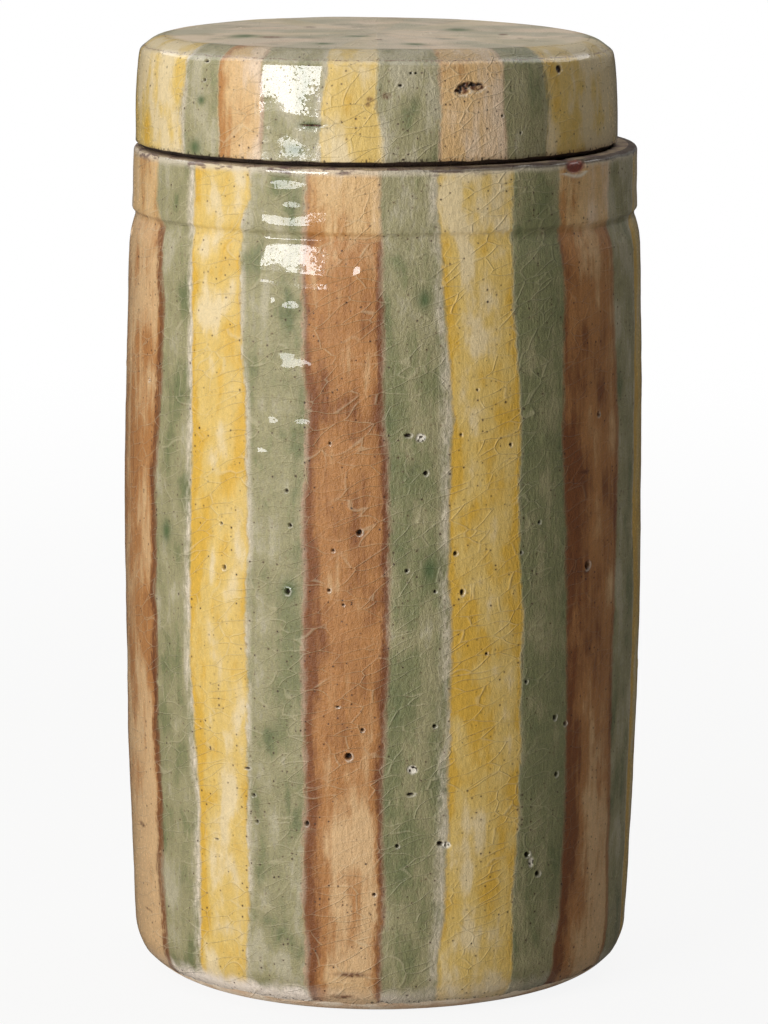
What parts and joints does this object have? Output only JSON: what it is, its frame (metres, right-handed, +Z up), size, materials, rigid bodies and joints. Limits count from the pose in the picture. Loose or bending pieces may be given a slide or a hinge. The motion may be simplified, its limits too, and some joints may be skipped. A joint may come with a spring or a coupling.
{
  "type": "lidded storage jar",
  "caption": "Barrel-sided earthenware storage jar with a flat cap lid that lifts off, crackle-glazed in upright stripes of brown, sage green and yellow.",
  "frame": {"origin": "centre of the flat face that the jar stands on", "axes": "+Z up along the axis of the jar and the lid, -Y towards the side that the picture shows"},
  "size_m": [0.1278, 0.1278, 0.232],
  "materials": {
    "striped_glaze": "glossy crackled glaze over brushed stripes of terracotta brown, sage green and warm yellow, with pinholes",
    "lining_glaze": "plain cream glaze on the inside of the body and the lid",
    "bare_clay": "unglazed fired clay on the rim, the lid's bottom edge and ring, and the foot"
  },
  "bodies": {
    "jar": {"jar_body": "striped_glaze"},
    "lid": {"lid": "striped_glaze"}
  },
  "joints": [
    {"name": "lid_lift", "type": "slide", "parent": "jar", "child": "lid", "axis": [0, 0, 1], "range_m": [0, 0.06]}
  ]
}
